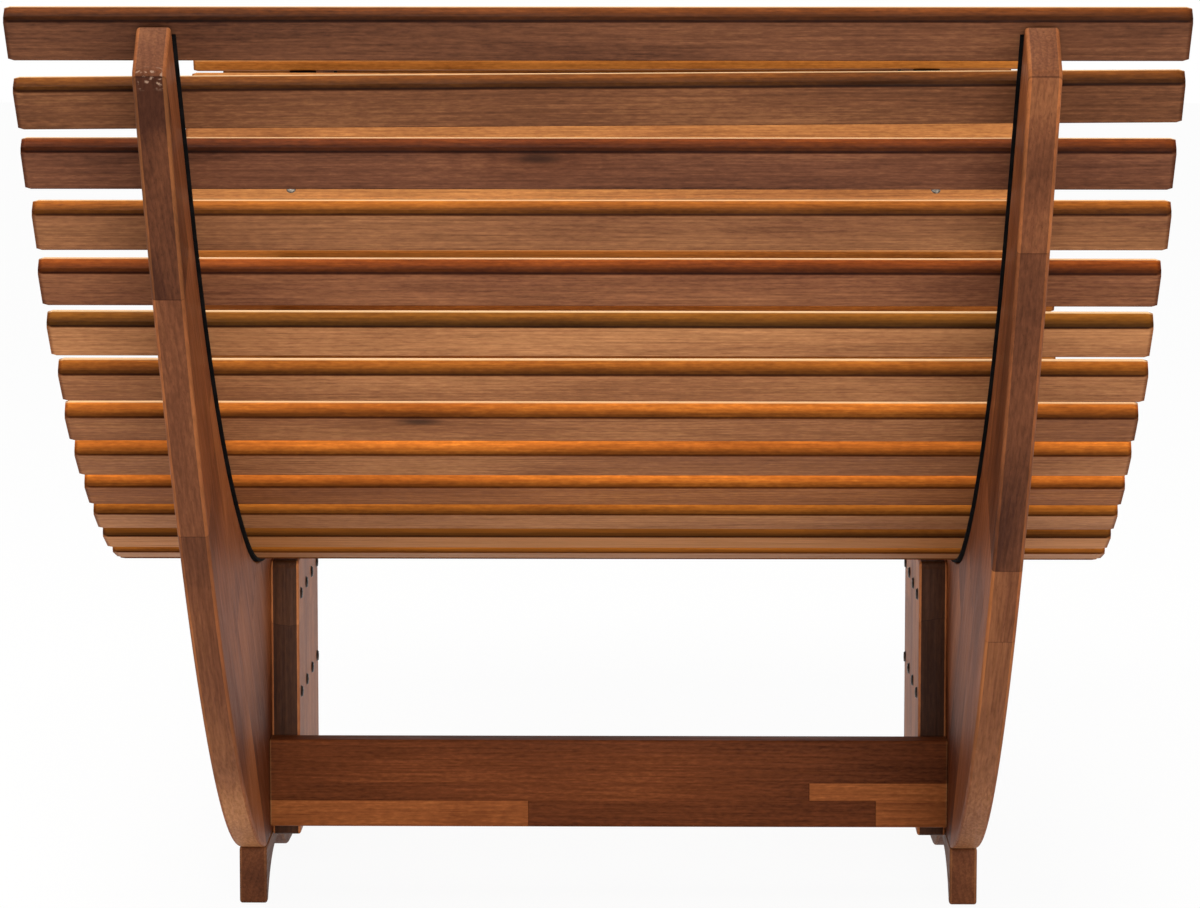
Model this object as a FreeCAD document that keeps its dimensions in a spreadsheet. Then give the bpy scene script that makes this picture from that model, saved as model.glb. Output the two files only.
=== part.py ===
import FreeCAD, Part
import math
import os
from FreeCAD import Placement, Rotation, Vector

os.makedirs("parts", exist_ok=True)
doc = FreeCAD.newDocument("rocking_lounger")

# Driving dimensions in millimetres and degrees.
# +Y runs from the head end to the foot end, X is across and the floor is at Z = 0.
DIMENSIONS = [
    # slats and the black band under them
    ("slat_count", 35),
    ("slat_length", 700),
    ("slat_width", 36),
    ("slat_thick", 13.5),
    ("slat_round", 2.5),
    ("band_thick", 2),
    ("band_overhang", 2),
    ("band_inset", 12),
    ("band_clearance", 0.1),
    # the seat line, seen from the side
    ("seat_height", 258.8),
    ("head_angle", 48.1),
    ("head_straight", 161.3),
    ("back_radius", 981),
    ("lumbar_angle", 21.5),
    ("seat_radius", 414.6),
    ("seat_front_radius", 430),
    ("thigh_angle", 43),
    ("thigh_straight", 270),
    ("knee_radius", 220),
    ("calf_angle", 22),
    ("calf_straight", 269),
    # side boards
    ("board_thick", 20),
    ("inner_width", 500),
    ("rail_inset", 1),
    ("head_rail_width", 43),
    ("foot_rail_width", 50),
    ("corner_round", 6),
    ("belly_angle_top", 57.5),
    ("belly_angle_bottom", 11.4),
    ("belly_pull_top", 281),
    ("belly_pull_bottom", 239),
    ("web_reach", 282),
    ("web_top", 130),
    ("web_pull_bottom", 190),
    ("web_pull_top", 110),
    # rocker runners, measured forward from the heel's rear face
    ("heel_back", 8),
    ("heel_length", 10),
    ("heel_angle", 48),
    ("heel_pull", 28),
    ("arch_reach", 105),
    ("arch_height", 30),
    ("arch_pull", 50),
    ("runner_height", 42.5),
    ("runner_length", 518),
    ("rocker_centre", 285),
    ("rocker_rear_reach", 70),
    ("rocker_radius", 1250),
    # front legs
    ("leg_reach", 436),
    ("leg_width", 60),
    # splice plates
    ("plate_reach", 54),
    ("plate_length", 195),
    ("plate_thick", 21),
    ("plate_lap", 2),
    ("plate_headroom", 13),
    ("plate_corner", 6.5),
    ("plate_screw_columns", 4),
    ("plate_screw_pitch", 54),
    ("plate_screw_drop", 26),
    ("plate_screw_rows", 74),
    # crossbars
    ("bar_thick", 22),
    ("bar_height", 65),
    ("bar_round", 3),
    ("rear_bar_lift", 8.5),
    ("front_bar_drop", 60),
    ("bar_screw_inset", 16),
    # screws and dowels
    ("screw_diameter", 6),
    ("screw_head", 9),
    ("screw_head_height", 1.5),
    ("screw_bite", 15),
    ("bar_screw_bite", 40),
    ("dowel_diameter", 8),
    ("dowel_inset", 20),
    ("dowel_spacing", 24),
    ("dowel_short_end", 12),
    ("dowel_long_end", 25),
    ("pin_flats", 8),
    ("head_flats", 10),
    ("hole_clearance", 0.15),
]

# Limits for telling directions apart
SAME_HEADING = 1e-9
ALONG_X = 0.99

sheet = doc.addObject("Spreadsheet::Sheet", "sizes")
for row, (alias, value) in enumerate(DIMENSIONS, start=1):
    sheet.set(f"A{row}", alias)
    sheet.set(f"B{row}", str(value))
    sheet.setAlias(f"B{row}", alias)
doc.recompute()


def size(alias):
    return float(sheet.get(alias))


def angle(alias):
    return math.radians(size(alias))


# The seat line: the underside of the slats as straight runs and tangent arcs, in (Y, Z).
back_turn = angle("head_angle") - angle("lumbar_angle")
knee_turn = angle("thigh_angle") + angle("calf_angle")
RUNS = [
    (size("head_straight"), 0.0),
    (size("back_radius") * back_turn, back_turn),
    (size("seat_radius") * angle("lumbar_angle"), angle("lumbar_angle")),
    (size("seat_front_radius") * angle("thigh_angle"), angle("thigh_angle")),
    (size("thigh_straight"), 0.0),
    (size("knee_radius") * knee_turn, -knee_turn),
    (size("calf_straight"), 0.0),
]
STARTS = [sum(length for length, _ in RUNS[:index]) for index in range(len(RUNS) + 1)]
back_start, seat_start, dip_station, thigh_start, knee_start, calf_start, line_length = STARTS[1:]


def direction(heading):
    return Vector(math.cos(heading), math.sin(heading), 0)


def normal(heading):
    return Vector(-math.sin(heading), math.cos(heading), 0)


def advance(point, heading, length, turn):
    if turn == 0:
        return point + direction(heading) * length, heading
    radius = length / turn
    centre = point + normal(heading) * radius
    return centre - normal(heading + turn) * radius, heading + turn


def trace(station):
    point, heading = Vector(0, 0, 0), -angle("head_angle")
    for length, turn in RUNS:
        part = min(max(station, 0.0), length)
        point, heading = advance(point, heading, part, turn * part / length)
        station -= part
        if station <= 0:
            break
    return point, heading


line_shift = Vector(0, size("seat_height"), 0) - trace(dip_station)[0]


def seat_point(station, offset=0.0):
    point, heading = trace(station)
    return point + line_shift + normal(heading) * offset


# Slats sit on the line by their lower arrises where it is hollow and at mid width where it is round.
slat_count = int(size("slat_count"))
slat_pitch = (line_length - size("slat_width")) / (slat_count - 1)


def slat_seat(index):
    first = index * slat_pitch
    start = seat_point(first)
    end = seat_point(first + size("slat_width"))
    heading = math.atan2(end.y - start.y, end.x - start.x)
    crown = seat_point(first + size("slat_width") / 2) - (start + end) / 2
    rise = max(0.0, crown.dot(normal(heading)))
    middle = (start + end) / 2 + normal(heading) * rise
    return middle - direction(heading) * (size("slat_width") / 2), heading


rail_start = size("rail_inset")
rail_end = line_length - size("rail_inset")
rail_top = -(size("band_thick") + size("band_clearance"))
rail_low = rail_top - size("foot_rail_width")
head_low = rail_top - size("head_rail_width")

# The part is centred over the floor between the rear corner of the head and the front of the last slat.
last_seat, last_heading = slat_seat(slat_count - 1)
tip = (last_seat + direction(last_heading) * (size("slat_width") - size("slat_round"))
       + normal(last_heading) * (size("slat_thick") - size("slat_round")))
rear_limit = seat_point(rail_start, head_low).x
front_limit = tip.x + size("slat_round")
line_shift = line_shift - Vector((rear_limit + front_limit) / 2, 0, 0)
dip_y = seat_point(dip_station).x

heel_y = dip_y - size("heel_back")
runner_top = size("runner_height")
plate_y = heel_y + size("plate_reach")
plate_bottom = runner_top - size("plate_lap")
plate_top = size("seat_height") - size("plate_headroom")
leg_rear = heel_y + size("leg_reach")
leg_front = leg_rear + size("leg_width")

# Rear and front cheek meet in an upright joint behind the middle of the splice plate.
joint_y = plate_y + size("plate_length") / 2
joint_turn = math.asin((joint_y - dip_y) / (size("seat_front_radius") - rail_top))
joint_station = dip_station + size("seat_front_radius") * joint_turn
joint_top = seat_point(joint_station, rail_top)
joint_foot = Vector(joint_y, runner_top, 0)


def line(start, end):
    return Part.LineSegment(start, end)


def seat_edges(first, last, offset):
    stations = [first] + [place for place in STARTS[1:-1] if first < place < last] + [last]
    edges = []
    for begin, end in zip(stations, stations[1:]):
        points = [seat_point(place, offset) for place in (begin, (begin + end) / 2, end)]
        straight = abs(trace(begin)[1] - trace(end)[1]) < SAME_HEADING
        edges.append(line(points[0], points[2]) if straight else Part.Arc(*points))
    return edges


def sweep_curve(start, start_heading, start_pull, end, end_heading, end_pull):
    curve = Part.BezierCurve()
    curve.setPoles([start, start + direction(start_heading) * start_pull,
                    end - direction(end_heading) * end_pull, end])
    return curve.toBSpline()


def rounded(before, corner, after, radius):
    # the corner's two tangent points and the arc between them
    back = (before - corner).normalize()
    ahead = (after - corner).normalize()
    half = back.getAngle(ahead) / 2
    reach = radius / math.tan(half)
    axis = (back + ahead).normalize()
    middle = corner + axis * (radius / math.sin(half) - radius)
    first, last = corner + back * reach, corner + ahead * reach
    return first, Part.Arc(first, middle, last), last


def board(label, edges, thick, place):
    body = doc.addObject("PartDesign::Body", label)
    plane = next(item for item in body.Origin.OriginFeatures if item.Role == "YZ_Plane")
    outline = body.newObject("Sketcher::SketchObject", label + "_outline")
    outline.AttachmentSupport = [(plane, "")]
    outline.MapMode = "FlatFace"
    outline.addGeometry(edges)
    pad = body.newObject("PartDesign::Pad", label + "_pad")
    pad.Profile = outline
    pad.setExpression("Length", thick)
    body.setExpression("Placement.Base.x", place)
    return body


def pin(label, radius, length, start, axis, flats="pin_flats"):
    # shanks, heads, dowels and their holes are many-sided rods
    item = doc.addObject("Part::Prism", label)
    item.setExpression("Polygon", "sizes." + flats)
    item.setExpression("Circumradius", radius)
    item.setExpression("Height", length)
    item.Placement = Placement(start, Rotation(Vector(0, 0, 1), axis))
    return item


def group(label, items):
    compound = doc.addObject("Part::Compound", label)
    compound.Links = items
    return compound


def drilled(label, blank, holes):
    cut = doc.addObject("Part::Cut", label)
    cut.Base = blank
    cut.Tool = group(label + "_holes", holes)
    return cut


# Outlines of the side boards, in (Y, Z)
def rear_cheek_edges():
    landing = Vector(heel_y, runner_top, 0)
    head_front = seat_point(rail_start, rail_top)
    head_rear = seat_point(rail_start, head_low)
    straight_end = seat_point(back_start, rail_top)
    belly_heading = -angle("belly_angle_top")
    belly_guide = head_rear + direction(belly_heading) * size("belly_pull_top")
    rear_first, rear_arc, rear_last = rounded(belly_guide, head_rear, head_front, size("corner_round"))
    top_first, top_arc, top_last = rounded(head_rear, head_front, straight_end, size("corner_round"))
    belly = sweep_curve(rear_first, belly_heading, size("belly_pull_top"),
                        landing, -angle("belly_angle_bottom"), size("belly_pull_bottom"))
    return ([top_arc, line(top_last, straight_end)] + seat_edges(back_start, joint_station, rail_top)
            + [line(joint_top, joint_foot), line(joint_foot, landing), belly]
            + [rear_arc, line(rear_last, top_first)])


def front_cheek_edges():
    web_foot = Vector(heel_y + size("web_reach"), runner_top, 0)
    web_station = thigh_start + size("web_top")
    web_head = seat_point(web_station, rail_low)
    web = sweep_curve(web_foot, math.pi / 2, size("web_pull_bottom"),
                      web_head, angle("thigh_angle"), size("web_pull_top"))
    calf_top = seat_point(calf_start, rail_top)
    calf_low = seat_point(calf_start, rail_low)
    tip_top = seat_point(rail_end, rail_top)
    tip_low = seat_point(rail_end, rail_low)
    top_first, top_arc, top_last = rounded(calf_top, tip_top, tip_low, size("corner_round"))
    low_first, low_arc, low_last = rounded(tip_top, tip_low, calf_low, size("corner_round"))
    return (seat_edges(joint_station, calf_start, rail_top)
            + [line(calf_top, top_first), top_arc, line(top_last, low_first)]
            + [low_arc, line(low_last, calf_low)]
            + seat_edges(web_station, calf_start, rail_low)
            + [web, line(web_foot, joint_foot), line(joint_foot, joint_top)])


def runner_edges():
    # heel, arch and rocker arc on the underside
    radius = size("rocker_radius")
    centre_y = heel_y + size("rocker_centre")

    def rocker(place):
        return Vector(place, radius - math.sqrt(radius ** 2 - (place - centre_y) ** 2), 0)

    rear_top = Vector(heel_y, runner_top, 0)
    front_top = Vector(heel_y + size("runner_length"), runner_top, 0)
    heel_rear = Vector(heel_y, 0, 0)
    heel_front = Vector(heel_y + size("heel_length"), 0, 0)
    arch = Vector(heel_y + size("arch_reach"), size("arch_height"), 0)
    touch = rocker(centre_y - size("rocker_rear_reach"))
    touch_heading = -math.asin(size("rocker_rear_reach") / radius)
    front_low = rocker(front_top.x)
    heel_curve = sweep_curve(heel_front, angle("heel_angle"), size("heel_pull"), arch, 0.0, size("arch_pull"))
    arch_curve = sweep_curve(arch, 0.0, size("arch_pull"), touch, touch_heading, size("arch_pull"))
    return [line(rear_top, heel_rear), line(heel_rear, heel_front), heel_curve, arch_curve,
            Part.Arc(touch, rocker(centre_y), front_low),
            line(front_low, front_top), line(front_top, rear_top)]


thigh_low = seat_point(thigh_start, rail_low)


def under_thigh(place):
    return Vector(place, thigh_low.y + (place - thigh_low.x) * math.tan(angle("thigh_angle")), 0)


def leg_edges():
    corners = [Vector(leg_rear, runner_top, 0), Vector(leg_front, runner_top, 0),
               under_thigh(leg_front), under_thigh(leg_rear)]
    return [line(a, b) for a, b in zip(corners, corners[1:] + corners[:1])]


def plate_edges():
    rear_low = Vector(plate_y, plate_bottom, 0)
    rear_top = Vector(plate_y, plate_top, 0)
    front_low = Vector(plate_y + size("plate_length"), plate_bottom, 0)
    front_top = Vector(plate_y + size("plate_length"), plate_top, 0)
    rear_first, rear_arc, rear_last = rounded(rear_low, rear_top, front_top, size("plate_corner"))
    front_first, front_arc, front_last = rounded(rear_top, front_top, front_low, size("plate_corner"))
    return [line(rear_low, rear_first), rear_arc, line(rear_last, front_first), front_arc,
            line(front_last, front_low), line(front_low, rear_low)]


def band_edges():
    low = -size("band_thick")
    first = size("band_inset")
    last = line_length - size("band_inset")
    return (seat_edges(first, last, 0.0) + [line(seat_point(last), seat_point(last, low))]
            + seat_edges(first, last, low) + [line(seat_point(first, low), seat_point(first))])


def bar_box(label, rear, bottom):
    body = doc.addObject("PartDesign::Body", label + "_blank")
    blank = body.newObject("PartDesign::AdditiveBox", label + "_box")
    blank.setExpression("Length", "sizes.inner_width")
    blank.setExpression("Width", "sizes.bar_thick")
    blank.setExpression("Height", "sizes.bar_height")
    soften(body, blank, label, "sizes.bar_round")
    body.Placement = Placement(Vector(0, rear, bottom), Rotation())
    body.setExpression("Placement.Base.x", "-sizes.inner_width / 2")
    return body


def soften(body, blank, label, radius):
    # round the arrises that run across the lounger
    doc.recompute()
    names = [f"Edge{number}" for number, edge in enumerate(blank.Shape.Edges, start=1)
             if abs(edge.tangentAt(edge.FirstParameter).x) > ALONG_X]
    arrises = body.newObject("PartDesign::Fillet", label + "_arrises")
    arrises.Base = (blank, names)
    arrises.setExpression("Radius", radius)


def slat(label, index):
    body = doc.addObject("PartDesign::Body", label)
    blank = body.newObject("PartDesign::AdditiveBox", label + "_box")
    blank.setExpression("Length", "sizes.slat_length")
    blank.setExpression("Width", "sizes.slat_width")
    blank.setExpression("Height", "sizes.slat_thick")
    soften(body, blank, label, "sizes.slat_round")
    seat, heading = slat_seat(index)
    turn = Rotation(Vector(1, 0, 0), math.degrees(heading))
    body.Placement = Placement(Vector(0, seat.x, seat.y), turn)
    body.setExpression("Placement.Base.x", "-sizes.slat_length / 2")
    return body


def at(flat, across):
    return Vector(across, flat.x, flat.y)


nodes = [slat(f"slat_{index + 1:02d}", index) for index in range(slat_count)]

# Crossbars: the rear one stands against the splice plates, the front one between the legs
rear_bar_y = plate_y - size("bar_thick")
rear_bar_z = runner_top + size("rear_bar_lift")
front_bar_y = (leg_rear + leg_front - size("bar_thick")) / 2
front_bar_z = under_thigh(leg_rear).y - size("front_bar_drop") - size("bar_height")
bars = {
    "rear_stretcher": (rear_bar_y, rear_bar_z),
    "front_stretcher": (front_bar_y, front_bar_z),
}


def bar_screw_spots(bar):
    rear, bottom = bars[bar]
    middle = rear + size("bar_thick") / 2
    low = bottom + size("bar_screw_inset")
    high = bottom + size("bar_height") - size("bar_screw_inset")
    return [Vector(middle, low, 0), Vector(middle, high, 0)]


column_count = int(size("plate_screw_columns"))
column_first = joint_y - (column_count - 1) * size("plate_screw_pitch") / 2
plate_screw_columns = [column_first + step * size("plate_screw_pitch") for step in range(column_count)]
plate_screw_high = plate_top - size("plate_screw_drop")
plate_screw_heights = [plate_screw_high - size("plate_screw_rows"), plate_screw_high]

# Upright dowels stand in the runner: two in each cheek and two in the leg
dowel_inset = size("dowel_inset")
runner_dowels = {
    "rear_cheek": [heel_y + dowel_inset, joint_y - dowel_inset],
    "front_cheek": [joint_y + dowel_inset, heel_y + size("web_reach") - dowel_inset],
    "front_leg": [leg_rear + dowel_inset, leg_front - dowel_inset],
}
leg_middle = under_thigh((leg_rear + leg_front) / 2)
dowel_step = direction(angle("thigh_angle")) * (size("dowel_spacing") / 2)
thigh_dowels = [leg_middle - dowel_step, leg_middle + dowel_step]

SHANK = "sizes.screw_diameter / 2"
HEAD = "sizes.screw_head / 2"
DRILL = "sizes.screw_diameter / 2 + sizes.hole_clearance"
DOWEL = "sizes.dowel_diameter / 2"
SOCKET = "sizes.dowel_diameter / 2 + sizes.hole_clearance"
DOWEL_LENGTH = "sizes.dowel_short_end + sizes.dowel_long_end"
SOCKET_LENGTH = "sizes.dowel_short_end + sizes.dowel_long_end + 2 * sizes.hole_clearance"
HEAD_LENGTH = "sizes.screw_head_height"
PLATE_SCREW = "sizes.plate_thick + sizes.screw_bite"
BAR_SCREW = "sizes.board_thick + sizes.bar_screw_bite"
BAND_WIDTH = "sizes.board_thick + sizes.band_overhang"


def screw(label, length, head_face, inward):
    shank = pin(label + "_shank", SHANK, length, head_face, inward)
    head = pin(label + "_head", HEAD, HEAD_LENGTH, head_face, inward * -1, "head_flats")
    whole = doc.addObject("Part::Fuse", label)
    whole.Base = shank
    whole.Tool = head
    return whole


def screw_hole(label, length, head_face, inward):
    return pin(label, DRILL, length + " + sizes.hole_clearance", head_face, inward)


def dowel_pair(label, spot, across, axis):
    # a dowel across the joint at spot: its short end lies behind the joint, its long end ahead
    start = at(spot - axis * size("dowel_short_end"), across)
    end_gap = at(axis * size("hole_clearance"), 0)
    dowel = pin(label, DOWEL, DOWEL_LENGTH, start, at(axis, 0))
    return dowel, lambda owner: pin(f"{label}_{owner}", SOCKET, SOCKET_LENGTH, start - end_gap, at(axis, 0))


bar_holes = {bar: [] for bar in bars}
crossbar_screws = []
upward = Vector(0, 1, 0)
into_leg = normal(angle("thigh_angle")) * -1

for side, sign in (("left", -1), ("right", 1)):
    inner = sign * size("inner_width") / 2
    outer = inner + sign * size("board_thick")
    middle = (inner + outer) / 2
    plate_face = inner - sign * size("plate_thick")
    into_board = Vector(sign, 0, 0)
    board_place = "sizes.inner_width / 2" if sign > 0 else "-sizes.inner_width / 2 - sizes.board_thick"
    plate_place = "sizes.inner_width / 2 - sizes.plate_thick" if sign > 0 else "-sizes.inner_width / 2"
    band_place = "sizes.inner_width / 2 - sizes.band_overhang" if sign > 0 else board_place
    holes = {name: [] for name in ("rear_cheek", "front_cheek", "runner", "front_leg", "splice_plate")}

    # screws of the splice plate: the rear two columns bite the rear cheek, the front two the front cheek
    plate_screws = []
    for column, place in enumerate(plate_screw_columns):
        owner = "rear_cheek" if place < joint_y else "front_cheek"
        for row, height in enumerate(plate_screw_heights):
            label = f"plate_screw_{side}_{column}_{row}"
            face = Vector(plate_face, place, height)
            plate_screws.append(screw(label, PLATE_SCREW, face, into_board))
            for piece in (owner, "splice_plate"):
                holes[piece].append(screw_hole(f"{label}_{piece}", PLATE_SCREW, face, into_board))

    # screws through the outer faces into the ends of the crossbars
    for bar, owner in (("rear_stretcher", "rear_cheek"), ("front_stretcher", "front_leg")):
        for row, spot in enumerate(bar_screw_spots(bar)):
            label = f"{bar}_screw_{side}_{row}"
            face = at(spot, outer)
            crossbar_screws.append(screw(label, BAR_SCREW, face, into_board * -1))
            holes[owner].append(screw_hole(f"{label}_{owner}", BAR_SCREW, face, into_board * -1))
            bar_holes[bar].append(screw_hole(f"{label}_{bar}", BAR_SCREW, face, into_board * -1))

    # dowels between runner, cheeks and leg, and between leg and thigh rail
    dowels = []
    for owner, places in runner_dowels.items():
        for number, place in enumerate(places):
            spot = Vector(place, runner_top, 0)
            dowel, socket = dowel_pair(f"dowel_{side}_{owner}_{number}", spot, middle, upward)
            dowels.append(dowel)
            holes["runner"].append(socket("runner"))
            holes[owner].append(socket(owner))
    for number, spot in enumerate(thigh_dowels):
        dowel, socket = dowel_pair(f"dowel_{side}_thigh_{number}", spot, middle, into_leg)
        dowels.append(dowel)
        holes["front_cheek"].append(socket("front_cheek"))
        holes["front_leg"].append(socket("front_leg"))

    outlines = {
        "rear_cheek": (rear_cheek_edges(), "sizes.board_thick", board_place),
        "front_cheek": (front_cheek_edges(), "sizes.board_thick", board_place),
        "runner": (runner_edges(), "sizes.board_thick", board_place),
        "front_leg": (leg_edges(), "sizes.board_thick", board_place),
        "splice_plate": (plate_edges(), "sizes.plate_thick", plate_place),
    }
    for name, (edges, thick, place) in outlines.items():
        blank = board(f"{name}_{side}_blank", edges, thick, place)
        nodes.append(drilled(f"{name}_{side}", blank, holes[name]))
    nodes.append(board(f"slat_band_{side}", band_edges(), BAND_WIDTH, band_place))
    nodes.append(group(f"plate_screws_{side}", plate_screws))
    nodes.append(group(f"side_dowels_{side}", dowels))

for bar, (rear, bottom) in bars.items():
    nodes.append(drilled(bar, bar_box(bar, rear, bottom), bar_holes[bar]))
nodes.append(group("crossbar_screws", crossbar_screws))

doc.recompute()
for item in doc.Objects:
    if "Invalid" in item.State or "Error" in item.State:
        raise RuntimeError(f"{item.Label} failed: {item.State}")
for node in nodes:
    if node.Shape.isNull() or not node.Shape.isValid():
        raise RuntimeError(f"{node.Label} has no valid shape")
for node in nodes:
    node.Shape.exportStep(f"parts/{node.Label}.step")
print(len(nodes), "nodes, slat pitch", round(slat_pitch, 2), "mm, dip at Y", round(dip_y, 2), "mm")
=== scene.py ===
import math
import random
import bmesh
import bpy
import numpy as np
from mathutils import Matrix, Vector


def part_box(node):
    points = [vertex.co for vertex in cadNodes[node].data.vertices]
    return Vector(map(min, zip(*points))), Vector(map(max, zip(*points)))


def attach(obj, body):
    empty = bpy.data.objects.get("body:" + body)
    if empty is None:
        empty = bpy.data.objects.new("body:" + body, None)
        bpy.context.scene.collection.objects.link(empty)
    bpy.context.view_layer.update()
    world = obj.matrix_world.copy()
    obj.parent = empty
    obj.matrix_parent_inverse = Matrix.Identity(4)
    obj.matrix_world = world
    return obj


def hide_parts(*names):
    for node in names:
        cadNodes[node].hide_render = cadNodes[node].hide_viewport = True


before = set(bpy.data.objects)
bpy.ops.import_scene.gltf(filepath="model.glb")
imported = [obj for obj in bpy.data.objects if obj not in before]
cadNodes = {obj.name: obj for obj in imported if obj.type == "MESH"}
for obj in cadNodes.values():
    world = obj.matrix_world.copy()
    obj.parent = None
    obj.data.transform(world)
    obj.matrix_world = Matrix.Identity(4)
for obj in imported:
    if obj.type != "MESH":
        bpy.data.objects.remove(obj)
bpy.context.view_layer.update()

scene = bpy.context.scene
scene.view_settings.view_transform = "Standard"
print("frame:", len(cadNodes), "CAD nodes")


# short words for node trees
def feed(tree, socket, value):
    if isinstance(value, bpy.types.NodeSocket):
        tree.links.new(value, socket)
    else:
        socket.default_value = value


def put(tree, kind, inputs=None, **settings):
    node = tree.nodes.new(kind)
    for name, value in settings.items():
        setattr(node, name, value)
    for key, value in (inputs or {}).items():
        feed(tree, node.inputs[key], value)
    return node


def calc(tree, operation, first, second=0.0, clamp=False):
    node = put(tree, "ShaderNodeMath", {0: first, 1: second}, operation=operation)
    node.use_clamp = clamp
    return node.outputs[0]


def plus(tree, *values):
    total = values[0]
    for value in values[1:]:
        total = calc(tree, "ADD", total, value)
    return total


def times(tree, *values):
    product = values[0]
    for value in values[1:]:
        product = calc(tree, "MULTIPLY", product, value)
    return product


def minus(tree, first, second):
    return calc(tree, "SUBTRACT", first, second)


def most(tree, first, second):
    return calc(tree, "MAXIMUM", first, second)


def rest(tree, value):
    return minus(tree, 1.0, value)


def gap(tree, first, second):
    return calc(tree, "ABSOLUTE", minus(tree, first, second))


def axes(tree, vector):
    return put(tree, "ShaderNodeSeparateXYZ", {0: vector}).outputs


def combined(tree, x=0.0, y=0.0, z=0.0):
    return put(tree, "ShaderNodeCombineXYZ", {0: x, 1: y, 2: z}).outputs[0]


def joined(tree, operation, first, second):
    return put(tree, "ShaderNodeVectorMath", {0: first, 1: second}, operation=operation).outputs[0]


def stretched(tree, vector, scale):
    return joined(tree, "MULTIPLY", vector, scale)


def lengthOf(tree, vector):
    return put(tree, "ShaderNodeVectorMath", {0: vector}, operation="LENGTH").outputs["Value"]


def attribute(tree, key, output="Fac"):
    return put(tree, "ShaderNodeAttribute", attribute_name=key).outputs[output]


def objectPlace(tree):
    return put(tree, "ShaderNodeTexCoord").outputs["Object"]


def noise(tree, vector, detail, roughness=0.55, distortion=0.0):
    node = put(tree, "ShaderNodeTexNoise", {"Vector": vector, "Scale": 1.0, "Detail": detail})
    node.inputs["Roughness"].default_value = roughness
    node.inputs["Distortion"].default_value = distortion
    return node.outputs["Fac"]


def spread(tree, value, low, high, toLow=0.0, toHigh=1.0):
    node = put(tree, "ShaderNodeMapRange", {"Value": value, "From Min": low, "From Max": high})
    node.interpolation_type = "SMOOTHSTEP"
    node.inputs["To Min"].default_value = toLow
    node.inputs["To Max"].default_value = toHigh
    return node.outputs["Result"]


def fade(tree, value, low, high):
    return spread(tree, value, low, high, 1.0, 0.0)


def mixed(tree, blend, factor, first, second):
    node = put(tree, "ShaderNodeMix", data_type="RGBA", blend_type=blend)
    feed(tree, node.inputs[0], factor)
    feed(tree, node.inputs[6], first)
    feed(tree, node.inputs[7], second)
    return node.outputs[2]


def tinted(tree, factor, colour, tint):
    return mixed(tree, "MULTIPLY", factor, colour, tint)


def grey(tree, value):
    return put(tree, "ShaderNodeCombineColor", {0: value, 1: value, 2: value}).outputs[0]


def newMaterial(name):
    material = bpy.data.materials.new(name)
    material.use_nodes = True
    tree = material.node_tree
    tree.nodes.clear()
    output = put(tree, "ShaderNodeOutputMaterial")
    return material, tree, output


def finishShader(tree, output, colour, gloss, height, relief, constants):
    bump = put(tree, "ShaderNodeBump", {"Height": height, "Strength": relief[0], "Distance": relief[1]})
    shader = put(tree, "ShaderNodeBsdfPrincipled", {"Base Color": colour, "Roughness": gloss})
    feed(tree, shader.inputs["Normal"], bump.outputs["Normal"])
    for key, value in constants.items():
        shader.inputs[key].default_value = value
    tree.links.new(shader.outputs[0], output.inputs["Surface"])


# oiled acacia: every wooden piece carries its own grain frame, and its tone or arris marks
acacia = {
    "deep": (0.055, 0.019, 0.010, 1),
    "heart": (0.150, 0.054, 0.024, 1),
    "warm": (0.270, 0.108, 0.044, 1),
    "pale": (0.460, 0.208, 0.084, 1),
    "wearAndHighlight": (0.900, 0.600, 0.320, 1),
    "warmLine": (0.450, 0.190, 0.060, 1),
    "poreTone": (0.25, 0.16, 0.12, 1),
    "swirlTone": (0.42, 0.30, 0.24, 1),
    "knotTone": (0.022, 0.010, 0.006, 1),
    "glueTone": (0.20, 0.12, 0.09, 1),
    "ringGap": 0.0042,
    "roughness": 0.50,
    "relief": (0.22, 0.0006),
    "sheen": 0.04,
    "arrisWearAndHighlight": 0.32,
    "speck": 0.50,
}
stops = {"deep": 0.02, "heart": 0.36, "warm": 0.66, "pale": 0.98}  # places on the colour ramp
shares = {"streak": 0.42, "cloud": 0.75, "tone": 0.62, "late": -0.06}  # each one's part in the shade

# grain noises: repeats per metre along and across the wood, then detail, roughness and distortion
grainNoises = {
    "bend": ((2.4, 7.0, 7.0), 2.0),
    "ripple": ((9.0, 60.0, 60.0), 2.0),
    "streak": ((1.3, 42.0, 42.0), 4.0, 0.58, 0.4),
    "cloud": ((3.5, 14.0, 14.0), 2.0),
    "fibre": ((16.0, 620.0, 620.0), 3.0, 0.6),
    "pore": ((60.0, 1500.0, 1500.0), 2.0, 0.5),
    "speck": ((150.0, 520.0, 520.0), 2.0, 0.6),
    "scratch": ((420.0, 420.0, 300.0), 3.0),
}
rings = {"logStep": 0.12, "heartDepth": 0.035, "bend": 0.030, "ripple": 0.0022, "swirl": 0.012,
         "early": 0.30, "late": 0.90}
knots = {"repeats": (2.6, 11.0, 11.0), "rare": 0.62, "squash": (0.55, 1.0, 0.35), "core": (0.0015, 0.0065),
         "swirl": 0.024}
slatKnot = {"spot": (-0.011, -0.006), "squash": (0.32, 1.0, 0.5), "core": (0.001, 0.0068), "strength": 0.9,
            "swirl": 0.027}
logs = {"shift": 31.0, "row": 0.37, "stave": 0.23}  # how far apart in the log the staves are cut
fingers = {"slope": 3.2, "half": 0.0022, "lean": 0.05}
glueLine = {"row": 0.0005, "end": 0.0004, "core": 0.0002, "rim": 0.0006, "butt": 0.00005, "contrast": 0.3}
strengths = {"fibre": (0.80, 1.12), "pores": 0.38, "swirl": 0.45, "core": 0.85, "glue": 0.55}
heights = {"fibre": 0.6, "pores": 0.7, "late": 0.25}  # each one's part in the relief
glossSwing = (0.10, -0.05)
wearAndHighlightLeast = 0.15
poreRange = (0.62, 0.74)
scuffRange = (0.54, 0.64)
fibreRange = (0.3, 0.7)
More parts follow.
